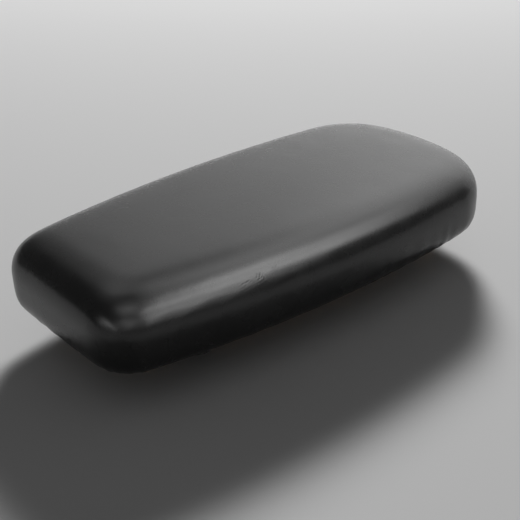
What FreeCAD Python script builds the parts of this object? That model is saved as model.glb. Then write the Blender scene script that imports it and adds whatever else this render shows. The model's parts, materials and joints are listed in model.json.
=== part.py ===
"""Rear seat cushion for a bicycle rack, as a parametric document in millimetres.

A leather cover is drawn over a foam pad and a plywood board, turned under as a hem and stapled.
Two steel strips hang below on bolts and clamp the rails of a rack against the underside.
+X points to the rear of the bicycle, +Y to its right and +Z up.  The origin is the middle of
the underside, in the plane that rests on the rack.
"""
import FreeCAD
import Part
import Sketcher

import math
import os
from enum import IntEnum, auto

SIZES = {
    # Plan of the cushion
    "cushion_length": 340.0,
    "cushion_width": 177.0,
    "widest_place": 31.0,
    "side_arc_radius": 890.0,
    "front_arc_radius": 2140.0,
    "rear_arc_radius": 260.0,
    "front_corner_radius": 31.0,
    "rear_corner_radius": 53.0,
    # Height and rounding of the cushion
    "cushion_height": 56.0,
    "crown_across": 5.0,
    "crown_along": 1.5,
    "shoulder_radius": 28.0,
    "tuck_radius": 15.0,
    "least_flat": 2.0,
    # Cover and its hem
    "cover_thickness": 1.2,
    "hem_width": 20.0,
    "hem_corner_radius": 12.0,
    "pleat_length": 16.0,
    "pleat_setback": 0.5,
    "pleat_thickness": 1.0,
    "front_pleats": 4,
    "rear_pleats": 6,
    # Foam and board
    "soft_clearance": 0.2,
    "board_thickness": 9.0,
    "board_margin": 2.0,
    "board_edge_chamfer": 2.0,
    # Staples
    "staple_crown": 10.0,
    "staple_tip_cover": 3.2,
    "staple_wire_width": 1.2,
    "staple_wire_depth": 0.6,
    "staple_pitch": 30.0,
    "staple_from_edge": 6.0,
    # Bolts, washers and nuts
    "bolt_diameter": 6.0,
    "bolt_tip_setback": 0.9,
    "bolt_across_flats": 10.0,
    "bolt_head_height": 4.0,
    "bolt_tip_chamfer": 0.8,
    "bolt_pitch_along": 190.0,
    "bolt_pitch_across": 60.0,
    "thread_clearance": 0.1,
    "hole_clearance": 0.6,
    "flat_washer_diameter": 14.0,
    "flat_washer_thickness": 1.6,
    "spring_washer_diameter": 11.0,
    "spring_washer_thickness": 1.6,
    "spring_washer_slit": 1.0,
    "nut_flange_diameter": 19.0,
    "nut_flange_thickness": 1.5,
    "nut_barrel_wall": 1.0,
    "nut_setback": 1.0,
    "nut_prong_length": 5.0,
    "nut_prong_width": 3.5,
    "nut_prong_thickness": 1.2,
    "nut_prong_count": 4,
    # Clamp straps and the gap they leave for a rail
    "strap_length": 108.0,
    "strap_width": 22.0,
    "strap_thickness": 2.5,
    "rail_gap": 10.0,
}

# Angles in degrees, and shares
CROWN_SWEEP = 60.0
HEAD_CHAMFER = 30.0
PLEAT_GAP = 0.08
CROWN_TOOL_REACH = 0.6

UPWARD = FreeCAD.Vector(0, 0, 1)
FULL_TURN = math.degrees(math.tau)


class Spot(IntEnum):
    """The points of an arc or a line, as a sketch counts them."""

    START = auto()
    END = auto()
    CENTRE = auto()


class Axis(IntEnum):
    """A sketch's own two axes, which it counts downwards."""

    ALONG_X = -1
    ALONG_Y = -2


START, END, CENTRE = Spot
ALONG_X, ALONG_Y = Axis
ORIGIN = (ALONG_X, START)


class Size:
    """A number in millimetres together with the spreadsheet expression that gives it."""

    def __init__(self, number, expression):
        self.number = number
        self.expression = expression

    def __add__(self, other):
        return self.joined("+", other, self.number + as_size(other).number)

    def __sub__(self, other):
        return self.joined("-", other, self.number - as_size(other).number)

    def __mul__(self, other):
        return self.joined("*", other, self.number * as_size(other).number)

    def __truediv__(self, other):
        return self.joined("/", other, self.number / as_size(other).number)

    def __neg__(self):
        return as_size(0) - self

    def joined(self, sign, other, number):
        """The outcome of a sum, difference, product or quotient with another size."""
        return Size(number, f"({self.expression} {sign} {as_size(other).expression})")


def as_size(value):
    """A plain number as a Size, and a Size as it is."""
    return value if isinstance(value, Size) else Size(float(value), repr(float(value)))


def smallest(*sizes):
    """The smallest of several sizes."""
    expressions = "; ".join(item.expression for item in sizes)
    return Size(min(item.number for item in sizes), f"min({expressions})")


def make_sheet(document):
    """The spreadsheet of driving dimensions, one alias a row."""
    sheet = document.addObject("Spreadsheet::Sheet", "sizes")
    for row, (alias, number) in enumerate(SIZES.items(), start=1):
        sheet.set(f"A{row}", alias)
        sheet.set(f"B{row}", str(number))
        sheet.setAlias(f"B{row}", alias)
    document.recompute()
    return sheet


def size(alias):
    """The sheet's value under an alias."""
    return Size(float(sheet.get(alias)), f"sizes.{alias}")


def bind(item, **values):
    """Tie properties of an object to sizes; a double underscore in a name stands for a dot."""
    for name, value in values.items():
        item.setExpression(name.replace("__", "."), as_size(value).expression)


# Sketches


def origin_plane(body, role):
    """The origin plane of a body that has this role."""
    return next(item for item in body.Origin.OriginFeatures if item.Role == role)


def new_sketch(body, name, role, height=None):
    """A sketch on one of the body's origin planes, lifted by a height along the plane's normal."""
    sketch = body.newObject("Sketcher::SketchObject", name)
    sketch.AttachmentSupport = [(origin_plane(body, role), "")]
    sketch.MapMode = "FlatFace"
    if height is not None:
        bind(sketch, AttachmentOffset__Base__z=height)
    return sketch


def constrain(sketch, kind, *references, value=None):
    """Add a constraint, tied to a size where it has one."""
    if value is None:
        return sketch.addConstraint(Sketcher.Constraint(kind, *references))
    index = sketch.addConstraint(Sketcher.Constraint(kind, *references, value.number))
    sketch.setExpression(f"Constraints[{index}]", value.expression)
    return index


def joint_angle(centre, other):
    """The direction from one arc's centre to another's, where the two arcs meet."""
    return math.atan2(other[1] - centre[1], other[0] - centre[0])


def corner_centre(end_x, end_radius, side, side_radius, corner_radius):
    """Where a corner arc that touches an end arc and the +Y side arc has its centre."""
    to_end = end_radius - corner_radius
    to_side = side_radius - corner_radius
    across = math.hypot(side[0] - end_x, side[1])
    along = (to_end ** 2 - to_side ** 2 + across ** 2) / (2 * across)
    off = math.sqrt(to_end ** 2 - along ** 2)
    unit = ((side[0] - end_x) / across, side[1] / across)
    foot = (end_x + along * unit[0], along * unit[1])
    choices = [(foot[0] - side_step * unit[1], foot[1] + side_step * unit[0]) for side_step in (off, -off)]
    return max(choices, key=lambda point: point[1])


def outline_arcs(inset, front_corner, rear_corner):
    """The eight arcs of the plan, taken in by an inset, each as centre, radius, start and end angle.

    They run anticlockwise from the rear end, and each touches the next.
    """
    number = {alias: size(alias).number for alias in SIZES}
    front_x = number["front_arc_radius"] - number["cushion_length"] / 2
    rear_x = number["cushion_length"] / 2 - number["rear_arc_radius"]
    side = (number["widest_place"], number["cushion_width"] / 2 - number["side_arc_radius"])
    front_radius = number["front_arc_radius"] - inset
    rear_radius = number["rear_arc_radius"] - inset
    side_radius = number["side_arc_radius"] - inset
    rear = corner_centre(rear_x, rear_radius, side, side_radius, rear_corner)
    front = corner_centre(front_x, front_radius, side, side_radius, front_corner)
    at_rear = joint_angle((rear_x, 0.0), rear)
    at_rear_side = joint_angle(side, rear)
    at_front_side = joint_angle(side, front)
    at_front = joint_angle((front_x, 0.0), front)
    turn = 2 * math.pi
    return [
        ((rear_x, 0.0), rear_radius, -at_rear, at_rear),
        (rear, rear_corner, at_rear, at_rear_side),
        (side, side_radius, at_rear_side, at_front_side),
        (front, front_corner, at_front_side, at_front),
        ((front_x, 0.0), front_radius, at_front, turn - at_front),
        ((front[0], -front[1]), front_corner, turn - at_front, turn - at_front_side),
        ((side[0], -side[1]), side_radius, turn - at_front_side, turn - at_rear_side),
        ((rear[0], -rear[1]), rear_corner, turn - at_rear_side, turn - at_rear),
    ]


def outline_sketch(body, name, inset, height, front_corner=None, rear_corner=None):
    """The plan of the cushion taken in by an inset, as a closed chain of touching arcs."""
    front_corner = front_corner or size("front_corner_radius") - inset
    rear_corner = rear_corner or size("rear_corner_radius") - inset
    sketch = new_sketch(body, name, "XY_Plane", height)
    for centre, radius, start, end in outline_arcs(inset.number, front_corner.number, rear_corner.number):
        circle = Part.Circle(FreeCAD.Vector(centre[0], centre[1], 0), UPWARD, radius)
        sketch.addGeometry(Part.ArcOfCircle(circle, start, end), False)
    rear_end, rear_right, right, front_right, front_end, front_left, left, rear_left = range(8)
    for arc in range(8):
        constrain(sketch, "Tangent", arc, END, (arc + 1) % 8, START)
    for one, other in ((rear_left, rear_right), (front_left, front_right), (left, right)):
        constrain(sketch, "Equal", one, other)
    constrain(sketch, "PointOnObject", rear_end, CENTRE, ALONG_X)
    constrain(sketch, "PointOnObject", front_end, CENTRE, ALONG_X)
    constrain(sketch, "Radius", rear_end, value=size("rear_arc_radius") - inset)
    constrain(sketch, "Radius", front_end, value=size("front_arc_radius") - inset)
    constrain(sketch, "Radius", right, value=size("side_arc_radius") - inset)
    constrain(sketch, "Radius", front_right, value=front_corner)
    constrain(sketch, "Radius", rear_right, value=rear_corner)
    half = size("cushion_length") / 2
    constrain(sketch, "DistanceX", *ORIGIN, rear_end, CENTRE, value=half - size("rear_arc_radius"))
    constrain(sketch, "DistanceX", *ORIGIN, front_end, CENTRE, value=size("front_arc_radius") - half)
    side_drop = size("cushion_width") / 2 - size("side_arc_radius")
    for arc, drop in ((right, side_drop), (left, -side_drop)):
        constrain(sketch, "DistanceX", *ORIGIN, arc, CENTRE, value=size("widest_place"))
        constrain(sketch, "DistanceY", *ORIGIN, arc, CENTRE, value=drop)
    return sketch


def pad(body, name, sketch, length):
    """Raise a sketch by a length."""
    feature = body.newObject("PartDesign::Pad", name)
    feature.Profile = sketch
    bind(feature, Length=length)
    return feature


def rim_edges(feature, pick):
    """The names of the edges round the highest face of a feature, with max, or the lowest, with min."""
    doc.recompute()
    face = pick(feature.Shape.Faces, key=lambda item: item.CenterOfMass.z)
    return [f"Edge{index}" for index, edge in enumerate(feature.Shape.Edges, start=1)
            if any(edge.isSame(other) for other in face.Edges)]


def soften_rim(body, name, feature, pick, **sizes):
    """Round the rim of a feature's highest or lowest face by a Radius, or bevel it by a Size."""
    kind = "PartDesign::Fillet" if "Radius" in sizes else "PartDesign::Chamfer"
    softened = body.newObject(kind, name)
    softened.Base = (feature, rim_edges(feature, pick))
    bind(softened, **sizes)
    doc.recompute()
    return softened


# The crowned form that the cover and the foam share


def crown_radius(half_span, drop):
    """The radius of an arc that falls by a drop over half its span."""
    return (half_span * half_span + drop * drop) / (drop * 2)


def crown_groove(body, name, inset):
    """Cut the top to a crown that is curved across the cushion and, less, along it."""
    top = size("cushion_height")
    along = crown_radius(size("cushion_length") / 2, size("crown_along"))
    across = crown_radius(size("cushion_width") / 2, size("crown_across"))
    reach = size("cushion_length") * CROWN_TOOL_REACH
    ceiling = top + size("crown_across") * 2
    sketch = new_sketch(body, f"{name}_profile", "XZ_Plane")
    middle = FreeCAD.Vector(0, top.number - along.number, 0)
    radius = along.number - inset.number
    lean = math.asin(reach.number / radius)
    low = middle.y + radius * math.cos(lean)
    circle = Part.Circle(middle, UPWARD, radius)
    arc = sketch.addGeometry(Part.ArcOfCircle(circle, math.pi / 2 - lean, math.pi / 2 + lean), False)
    far, high, axle_height = reach.number, ceiling.number, top.number - across.number
    rise = add_line(sketch, (-far, low), (-far, high))
    lid = add_line(sketch, (-far, high), (far, high))
    fall = add_line(sketch, (far, high), (far, low))
    axle = add_line(sketch, (-far, axle_height), (far, axle_height), construction=True)
    for one, one_end, other, other_end in ((arc, END, rise, START), (rise, END, lid, START),
                                           (lid, END, fall, START), (fall, END, arc, START)):
        constrain(sketch, "Coincident", one, one_end, other, other_end)
    constrain(sketch, "Vertical", rise)
    constrain(sketch, "Vertical", fall)
    constrain(sketch, "Horizontal", lid)
    constrain(sketch, "Horizontal", axle)
    constrain(sketch, "PointOnObject", arc, CENTRE, ALONG_Y)
    constrain(sketch, "Radius", arc, value=along - inset)
    constrain(sketch, "DistanceY", *ORIGIN, arc, CENTRE, value=top - along)
    constrain(sketch, "DistanceX", *ORIGIN, fall, END, value=reach)
    constrain(sketch, "DistanceX", *ORIGIN, rise, START, value=-reach)
    constrain(sketch, "DistanceY", *ORIGIN, lid, START, value=ceiling)
    constrain(sketch, "DistanceY", *ORIGIN, axle, START, value=top - across)
    constrain(sketch, "DistanceX", *ORIGIN, axle, START, value=-reach)
    constrain(sketch, "DistanceX", *ORIGIN, axle, END, value=reach)
    groove = body.newObject("PartDesign::Groove", name)
    groove.Profile = sketch
    groove.ReferenceAxis = (sketch, ["Axis0"])
    groove.Midplane = True
    groove.Angle = CROWN_SWEEP
    return groove


def crowned_block(name, inset):
    """The cushion's form taken in by an inset on every side, with its crown and rounded edges."""
    body = doc.addObject("PartDesign::Body", name)
    tuck = smallest(size("tuck_radius"), size("front_corner_radius") - size("least_flat"))
    wall = size("cushion_height") - size("crown_across") - size("crown_along") - tuck - size("least_flat")
    shoulder = smallest(size("shoulder_radius"), size("front_corner_radius") - size("least_flat"), wall)
    outline = outline_sketch(body, f"{name}_outline", inset, inset)
    block = pad(body, f"{name}_block", outline, size("cushion_height") + size("crown_across") - inset)
    doc.recompute()
    uncut = block.Shape.Volume
    crown = crown_groove(body, f"{name}_crown", inset)
    doc.recompute()
    if not crown.Shape.Volume < uncut:
        raise RuntimeError(f"{name}: the crown cuts nothing")
    tucked = soften_rim(body, f"{name}_tuck", crown, min, Radius=tuck - inset)
    soften_rim(body, f"{name}_shoulder", tucked, max, Radius=shoulder - inset)
    return body


def pocket_upward(body, name, sketch, depth):
    """Cut a sketch upward by a depth, and make sure that it takes something away."""
    before = body.Shape.Volume
    feature = body.newObject("PartDesign::Pocket", name)
    feature.Profile = sketch
    feature.Reversed = True
    bind(feature, Length=depth)
    doc.recompute()
    if not body.Shape.Volume < before:
        raise RuntimeError(f"{name}: the pocket cuts nothing")
    return feature


# Cover


def hem_inset():
    """How far the hem's cut edge lies inside the widest plan."""
    return size("tuck_radius") + size("hem_width")


def pleat_solids():
    """The gathers at the four corners of the hem, each a fold that widens towards the cut edge."""
    corner = size("hem_corner_radius").number
    front, rear = size("front_pleats"), size("rear_pleats")
    counts = {1: rear, 3: front, 5: front, 7: rear}
    inner = corner + size("pleat_setback").number
    outer = inner + size("pleat_length").number
    drop = FreeCAD.Vector(0, 0, -size("pleat_thickness").number)
    arcs = outline_arcs(hem_inset().number, corner, corner)
    solids = []
    for index, count in counts.items():
        centre, _, start, end = arcs[index]
        step = (end - start) / count.number
        for fold in range(int(count.number)):
            thin = start + step * (fold + PLEAT_GAP)
            thick = start + step * (fold + 1 - PLEAT_GAP)
            flat_corner = polar_point(centre, inner, thin)
            fold_root = polar_point(centre, inner, thick)
            fold_tip = polar_point(centre, outer, thick)
            solids.append(tetrahedron(flat_corner, fold_root, fold_root + drop, fold_tip))
    return solids


def polar_point(centre, radius, angle):
    """A point of the underside at a distance and direction from a centre."""
    return FreeCAD.Vector(centre[0] + radius * math.cos(angle), centre[1] + radius * math.sin(angle), 0)


def tetrahedron(*corners):
    """The solid between four corners."""
    faces = []
    for left_out in range(4):
        rim = [point for index, point in enumerate(corners) if index != left_out]
        faces.append(Part.Face(Part.makePolygon(rim + rim[:1])))
    return Part.makeSolid(Part.Shell(faces))


def make_cover(staples):
    """The leather cover: a thin shell, open below inside its hem, with the corner gathers."""
    skin = crowned_block("skin", as_size(0))
    corner = size("hem_corner_radius")
    window = outline_sketch(skin, "hem_edge", hem_inset(), as_size(0), corner, corner)
    pocket_upward(skin, "hem_window", window, size("cover_thickness") * 2)
    inside = crowned_block("cover_inside", size("cover_thickness"))
    shell = boolean("Part::Cut", "cover_shell", skin, inside)
    gathers = doc.addObject("Part::Feature", "gathers")
    gathers.Shape = Part.makeCompound(pleat_solids())
    gathered = boolean("Part::Fuse", "gathered_cover", shell, gathers)
    return boolean("Part::Cut", "cover", gathered, staples)


def boolean(kind, name, base, tool):
    """A boolean of two objects."""
    result = doc.addObject(kind, name)
    result.Base = base
    result.Tool = tool
    return result


# Foam and board


def board_inset():
    """How far the board's edge lies inside the widest plan."""
    return size("tuck_radius") + size("board_margin")


def board_top():
    """The height of the board's upper face, which carries the foam."""
    return size("cover_thickness") + size("board_thickness")


def make_foam():
    """The foam pad, hollowed below so that it wraps the board's edge."""
    inset = size("cover_thickness") + size("soft_clearance")
    foam = crowned_block("foam_pad", inset)
    recess = outline_sketch(foam, "board_recess_plan", board_inset() - size("soft_clearance"), inset)
    pocket_upward(foam, "board_recess", recess, board_top() - inset)
    return foam


def make_board(nuts, staples):
    """The plywood board, rounded below, bored for the nuts and pierced by the staples."""
    board = doc.addObject("PartDesign::Body", "board_blank")
    plan = outline_sketch(board, "board_plan", board_inset(), size("cover_thickness"))
    ply = pad(board, "board_sheet", plan, size("board_thickness"))
    soften_rim(board, "board_edge", ply, min, Size=size("board_edge_chamfer"))
    bores = new_sketch(board, "nut_bores_plan", "XY_Plane", size("cover_thickness"))
    for x_side, y_side in ((-1, -1), (-1, 1), (1, -1), (1, 1)):
        add_circle(bores, bolt_x() * x_side, bolt_y() * y_side, nut_barrel_radius())
    pocket_upward(board, "nut_bores", bores, size("board_thickness"))
    bored = boolean("Part::Cut", "bored_board", board, nuts)
    return boolean("Part::Cut", "base_board", bored, staples)


def add_circle(sketch, x, y, radius):
    """A circle of a sketch, at a place."""
    centre = FreeCAD.Vector(x.number, y.number, 0)
    circle = sketch.addGeometry(Part.Circle(centre, UPWARD, radius.number), False)
    constrain(sketch, "Radius", circle, value=radius)
    place_point(sketch, circle, CENTRE, x, y)


def add_line(sketch, start, end, construction=False):
    """A line of a sketch between two points."""
    segment = Part.LineSegment(FreeCAD.Vector(*start, 0), FreeCAD.Vector(*end, 0))
    return sketch.addGeometry(segment, construction)


def place_point(sketch, item, point, x, y):
    """Hold a point of a sketch at its coordinates."""
    for kind, axis, value in (("DistanceX", ALONG_Y, x), ("DistanceY", ALONG_X, y)):
        if value.number == 0:
            constrain(sketch, "PointOnObject", item, point, axis)
        else:
            constrain(sketch, kind, *ORIGIN, item, point, value=value)


def polygon_sketch(body, name, role, points, height=None):
    """A closed polygon through points given by their two coordinates."""
    sketch = new_sketch(body, name, role, height)
    points = [(as_size(x), as_size(y)) for x, y in points]
    corners = [FreeCAD.Vector(x.number, y.number, 0) for x, y in points]
    for index, corner in enumerate(corners):
        sketch.addGeometry(Part.LineSegment(corner, corners[(index + 1) % len(corners)]), False)
    for index, (x, y) in enumerate(points):
        constrain(sketch, "Coincident", index, END, (index + 1) % len(points), START)
        place_point(sketch, index, START, x, y)
    return sketch


def revolve(body, name, kind, sketch, angle=None):
    """Turn a profile about the body's upright axis."""
    feature = body.newObject(kind, name)
    feature.Profile = sketch
    feature.ReferenceAxis = (origin_plane(body, "Z_Axis"), [""])
    if angle is not None:
        bind(feature, Angle=angle)
    doc.recompute()
    return feature


# Staples


def staple_solid(place, direction):
    """One staple, flush with the underside, its crown along a direction and its legs up."""
    half = size("staple_crown").number / 2
    leg = (board_top() - size("staple_tip_cover")).number
    thick = size("staple_wire_depth").number
    wide = size("staple_wire_width").number
    profile = [(-half, 0), (half, 0), (half, leg), (half - thick, leg), (half - thick, thick),
               (thick - half, thick), (thick - half, leg), (-half, leg)]
    points = [FreeCAD.Vector(x, -wide / 2, z) for x, z in profile]
    solid = Part.Face(Part.makePolygon(points + points[:1])).extrude(FreeCAD.Vector(0, wide, 0))
    solid.rotate(FreeCAD.Vector(0, 0, 0), UPWARD, math.degrees(direction))
    solid.translate(place)
    return solid


def make_staples():
    """Staples along the hem's two sides and two ends, evenly spaced between the gathers."""
    back = size("staple_from_edge").number
    corner = size("hem_corner_radius").number + back
    arcs = outline_arcs(hem_inset().number - back, corner, corner)
    solids = []
    for centre, radius, start, end in arcs[::2]:
        count = max(1, round(radius * (end - start) / size("staple_pitch").number))
        for index in range(count):
            angle = start + (end - start) * (index + 0.5) / count
            solids.append(staple_solid(polar_point(centre, radius, angle), angle + math.pi / 2))
    staples = doc.addObject("Part::Feature", "hem_staples")
    staples.Shape = Part.makeCompound(solids)
    return staples


# Bolts, washers and nuts


def bolt_x():
    """How far the bolts stand from the middle, along the cushion."""
    return size("bolt_pitch_along") / 2


def bolt_y():
    """How far the bolts stand from the middle, across the cushion."""
    return size("bolt_pitch_across") / 2


def strap_top():
    """The height of the straps' upper faces, below the underside by the rail gap."""
    return -size("rail_gap")


def head_top():
    """The height of the bolt heads' upper faces, under the strap and the two washers."""
    stack = size("strap_thickness") + size("flat_washer_thickness") + size("spring_washer_thickness")
    return strap_top() - stack


def nut_barrel_radius():
    """The outer radius of a nut's barrel."""
    return size("bolt_diameter") / 2 + size("nut_barrel_wall")


def four_of(name, piece):
    """A piece at the front left bolt, mirrored to the other three bolts, as one group."""
    bind(piece, Placement__Base__x=-bolt_x(), Placement__Base__y=-bolt_y())
    right = mirrored(f"{name}_right", piece, FreeCAD.Vector(0, 1, 0))
    rear = [mirrored(f"{item.Name}_rear", item, FreeCAD.Vector(1, 0, 0)) for item in (piece, right)]
    group = doc.addObject("Part::Compound", name)
    group.Links = [piece, right] + rear
    return group


def mirrored(name, piece, normal):
    """A piece mirrored in an upright plane through the origin."""
    copy = doc.addObject("Part::Mirroring", name)
    copy.Source = piece
    copy.Normal = normal
    return copy


def ring(name, inner, outer, low, thickness, turn=None):
    """A flat ring about the upright axis, whole or open by a slit."""
    body = doc.addObject("PartDesign::Body", name)
    high = low + thickness
    section = polygon_sketch(body, f"{name}_section", "XZ_Plane",
                             [(inner, low), (outer, low), (outer, high), (inner, high)])
    revolve(body, f"{name}_turn", "PartDesign::Revolution", section, turn)
    return body


def make_washers():
    """The flat washers under the straps, and the spring washers below them."""
    bore = (size("bolt_diameter") + size("hole_clearance")) / 2
    flat_radius = size("flat_washer_diameter") / 2
    flat_low = strap_top() - size("strap_thickness") - size("flat_washer_thickness")
    flat = ring("flat_washer", bore, flat_radius, flat_low, size("flat_washer_thickness"))
    spring_radius = size("spring_washer_diameter") / 2
    turn = as_size(FULL_TURN) - size("spring_washer_slit") / spring_radius * math.degrees(1)
    spring = ring("spring_washer", bore, spring_radius, head_top(), size("spring_washer_thickness"), turn)
    return four_of("flat_washers", flat), four_of("spring_washers", spring)


def make_bolts():
    """The hexagon bolts, heads down, with chamfered heads and tips."""
    body = doc.addObject("PartDesign::Body", "clamp_bolt")
    top = head_top()
    low = top - size("bolt_head_height")
    corner = size("bolt_across_flats") / math.sqrt(3)
    hexagon = [(corner * math.cos(math.radians(turn)), corner * math.sin(math.radians(turn)))
               for turn in range(30, 390, 60)]
    plan = polygon_sketch(body, "head_plan", "XY_Plane", hexagon, low)
    pad(body, "head", plan, size("bolt_head_height"))
    doc.recompute()
    flat = size("bolt_across_flats") / 2
    rim = corner + size("bolt_tip_chamfer")
    slope = (rim - flat) * math.tan(math.radians(HEAD_CHAMFER))
    chamfer = polygon_sketch(body, "head_chamfer_section", "XZ_Plane",
                             [(flat, low), (rim, low + slope), (rim, low - slope), (flat, low - slope)])
    revolve(body, "head_chamfer", "PartDesign::Groove", chamfer)
    radius = size("bolt_diameter") / 2
    tip = board_top() - size("bolt_tip_setback")
    cut = size("bolt_tip_chamfer")
    middle = top - size("bolt_head_height") / 2
    profile = [(0, middle), (radius, middle), (radius, tip - cut), (radius - cut, tip), (0, tip)]
    shank = polygon_sketch(body, "shank_section", "XZ_Plane", profile)
    revolve(body, "shank", "PartDesign::Revolution", shank)
    return four_of("clamp_bolts", body)


def make_nuts():
    """The tee nuts, let in flush with the board's upper face, with prongs under their flanges."""
    body = doc.addObject("PartDesign::Body", "tee_nut")
    bore = (size("bolt_diameter") + size("thread_clearance")) / 2
    barrel = nut_barrel_radius()
    flange = size("nut_flange_diameter") / 2
    top = board_top()
    under = top - size("nut_flange_thickness")
    low = size("cover_thickness") + size("nut_setback")
    profile = [(bore, low), (barrel, low), (barrel, under), (flange, under), (flange, top), (bore, top)]
    section = polygon_sketch(body, "nut_section", "XZ_Plane", profile)
    revolve(body, "nut_turn", "PartDesign::Revolution", section)
    root = flange - size("nut_prong_width")
    tooth = polygon_sketch(body, "prong_side", "XZ_Plane",
                           [(root, under), (flange, under - size("nut_prong_length")), (flange, under)])
    prong = pad(body, "prong", tooth, size("nut_prong_thickness"))
    prong.SideType = "Symmetric"
    doc.recompute()
    prongs = body.newObject("PartDesign::PolarPattern", "prongs")
    prongs.Originals = [prong]
    prongs.Axis = (origin_plane(body, "Z_Axis"), [""])
    prongs.Angle = FULL_TURN
    bind(prongs, Occurrences=size("nut_prong_count"))
    body.Tip = prongs
    return four_of("tee_nuts", body)


# Straps


def make_strap(name, place):
    """A steel strip with round ends and two bolt holes, across the underside at a place."""
    body = doc.addObject("PartDesign::Body", name)
    half_width = size("strap_width") / 2
    end = size("strap_length") / 2 - half_width
    plan = new_sketch(body, f"{name}_plan", "XY_Plane", strap_top() - size("strap_thickness"))
    half, reach = half_width.number, end.number
    right_end = Part.Circle(FreeCAD.Vector(0, reach, 0), UPWARD, half)
    left_end = Part.Circle(FreeCAD.Vector(0, -reach, 0), UPWARD, half)
    plan.addGeometry(Part.ArcOfCircle(right_end, 0, math.pi), False)
    add_line(plan, (-half, reach), (-half, -reach))
    plan.addGeometry(Part.ArcOfCircle(left_end, math.pi, 2 * math.pi), False)
    add_line(plan, (half, -reach), (half, reach))
    for edge in range(4):
        constrain(plan, "Tangent", edge, END, (edge + 1) % 4, START)
    place_point(plan, 0, CENTRE, as_size(0), end)
    place_point(plan, 2, CENTRE, as_size(0), -end)
    constrain(plan, "Radius", 0, value=half_width)
    hole = (size("bolt_diameter") + size("hole_clearance")) / 2
    pad(body, f"{name}_strip", plan, size("strap_thickness"))
    doc.recompute()
    holes = new_sketch(body, f"{name}_holes_plan", "XY_Plane", strap_top() - size("strap_thickness"))
    for side in (-1, 1):
        add_circle(holes, as_size(0), bolt_y() * side, hole)
    pocket_upward(body, f"{name}_holes", holes, size("strap_thickness"))
    bind(body, Placement__Base__x=place)
    return body


# Assembly, test and output


def faults(pieces):
    """What is wrong with the document, as a list of words."""
    found = [f"{item.Name}: {item.State}" for item in doc.Objects
             if "Invalid" in item.State or "Error" in item.State]
    for item in pieces:
        if item.Shape.isNull() or not item.Shape.isValid():
            found.append(f"{item.Label}: shape is null or not valid")
    return found


doc = FreeCAD.newDocument("rear_seat_cushion")
sheet = make_sheet(doc)

hem_staples = make_staples()
tee_nuts = make_nuts()
flat_washers, spring_washers = make_washers()
pieces = [
    make_cover(hem_staples),
    make_foam(),
    make_board(tee_nuts, hem_staples),
    hem_staples,
    tee_nuts,
    make_strap("front_clamp_strap", -bolt_x()),
    make_strap("rear_clamp_strap", bolt_x()),
    make_bolts(),
    flat_washers,
    spring_washers,
]
doc.recompute()

wrong = faults(pieces)
if wrong:
    raise RuntimeError("; ".join(wrong))
os.makedirs("parts", exist_ok=True)
for piece in pieces:
    piece.Shape.exportStep(f"parts/{piece.Label}.step")
    print(piece.Label, len(piece.Shape.Solids), "solids", round(piece.Shape.Volume, 1), "cubic mm")
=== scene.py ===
"""The dressed model of a bicycle rear seat cushion: padded leather cover, board, staples and clamps.

The part's solids are loaded in their own frame: +X points to the rear of the bicycle, +Y to its right
and +Z up, and the origin is the middle of the underside. Lengths are in metres unless they say otherwise.
"""

from __future__ import annotations

import json
import logging
import math
from contextlib import contextmanager
from dataclasses import dataclass, field, replace
from enum import Enum, IntEnum
from typing import Any, Iterable, Iterator

import bpy
import numpy as np
from mathutils import Matrix, Quaternion, Vector

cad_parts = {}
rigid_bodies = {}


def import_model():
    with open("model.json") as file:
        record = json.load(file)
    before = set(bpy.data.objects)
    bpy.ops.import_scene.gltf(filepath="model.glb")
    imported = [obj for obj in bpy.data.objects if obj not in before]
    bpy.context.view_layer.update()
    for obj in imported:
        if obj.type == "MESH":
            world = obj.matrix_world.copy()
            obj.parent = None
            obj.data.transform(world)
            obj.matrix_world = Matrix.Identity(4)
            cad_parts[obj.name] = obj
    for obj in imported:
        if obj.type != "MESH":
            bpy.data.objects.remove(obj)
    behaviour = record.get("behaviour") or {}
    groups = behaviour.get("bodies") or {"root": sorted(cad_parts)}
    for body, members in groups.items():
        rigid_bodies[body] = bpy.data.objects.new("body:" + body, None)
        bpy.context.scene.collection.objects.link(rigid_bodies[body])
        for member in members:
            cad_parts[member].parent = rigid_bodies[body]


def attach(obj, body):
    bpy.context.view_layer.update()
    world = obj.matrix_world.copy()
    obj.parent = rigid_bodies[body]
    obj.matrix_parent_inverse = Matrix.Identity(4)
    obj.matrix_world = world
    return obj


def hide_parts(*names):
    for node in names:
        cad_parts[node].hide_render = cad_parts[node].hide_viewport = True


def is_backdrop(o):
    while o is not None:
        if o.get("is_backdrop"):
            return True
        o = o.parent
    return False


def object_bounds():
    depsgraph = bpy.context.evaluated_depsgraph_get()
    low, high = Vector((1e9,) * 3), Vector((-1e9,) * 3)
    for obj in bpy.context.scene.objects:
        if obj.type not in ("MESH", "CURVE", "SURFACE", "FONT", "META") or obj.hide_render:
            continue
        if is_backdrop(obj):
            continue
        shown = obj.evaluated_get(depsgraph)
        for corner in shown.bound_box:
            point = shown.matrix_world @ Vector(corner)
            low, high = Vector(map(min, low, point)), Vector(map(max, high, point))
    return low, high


LOG = logging.getLogger("seat_cushion")
MM = 0.001
TINY = 1e-9

Array = np.ndarray
Colour = tuple[float, float, float]
Socket = bpy.types.NodeSocket


class Node(Enum):
    """The part's own solids, by the names they are packed under."""

    COVER = "cover"
    FOAM = "foam_pad"
    BOARD = "base_board"
    STAPLES = "hem_staples"
    TEE_NUTS = "tee_nuts"
    BOLTS = "clamp_bolts"
    FLAT_WASHERS = "flat_washers"
    SPRING_WASHERS = "spring_washers"
    FRONT_STRAP = "front_clamp_strap"
    REAR_STRAP = "rear_clamp_strap"


class Slot(Enum):
    """The record's material slot for the cover's leather, by name."""

    LEATHER = "cover_leather"


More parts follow.
